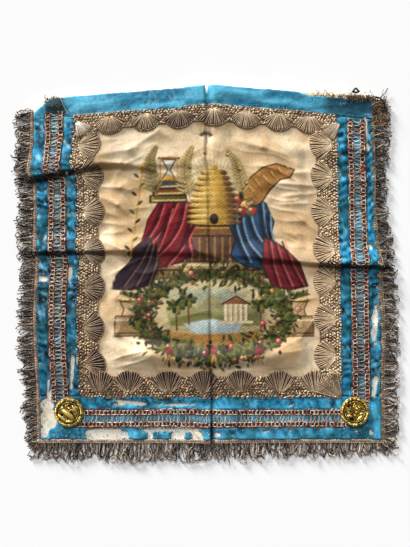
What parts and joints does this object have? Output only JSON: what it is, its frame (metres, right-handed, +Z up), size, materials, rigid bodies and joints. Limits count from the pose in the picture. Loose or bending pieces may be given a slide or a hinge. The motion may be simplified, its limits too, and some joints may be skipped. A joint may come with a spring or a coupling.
{
  "type": "fraternal apron",
  "caption": "Square ceremonial apron laid flat: printed satin field, blue silk border with metal braid and shell lace, bullion fringe and gilt corner rosettes.",
  "frame": {"origin": "on the surface the apron lies on, under the middle of its overall outline, fringe included", "axes": "+Z up out of the front face, +Y from the hem towards the waist edge, +X to the right as the front is seen"},
  "size_m": [0.466, 0.4534, 0.0125],
  "materials": {
    "backing": "matt cotton lining and interlining, aged cream",
    "satin": "soft satin sheen, toned cream",
    "silk": "ribbed silk ribbon, soft sheen, split and faded",
    "braid": "tarnished metal thread with red and copper silk cores",
    "lace": "tarnished metal-thread lace, glittering",
    "fringe": "dark tarnished bullion cord with paler highlights",
    "gilt": "stamped and pierced, gilt",
    "iron": "dark japanned wire"
  },
  "bodies": {
    "root": {"backing": "backing", "satin_panel": "satin", "ribbon_top": "silk", "ribbon_left": "silk", "ribbon_right": "silk", "ribbon_bottom": "silk", "braid_left": "braid", "braid_right": "braid", "braid_bottom": "braid", "lace_top": "lace", "lace_left": "lace", "lace_right": "lace", "lace_bottom": "lace", "fringe_left": "fringe", "fringe_right": "fringe", "fringe_bottom": "fringe", "rosette_left": "gilt", "rosette_right": "gilt", "hook_eye": "iron"}
  },
  "joints": []
}
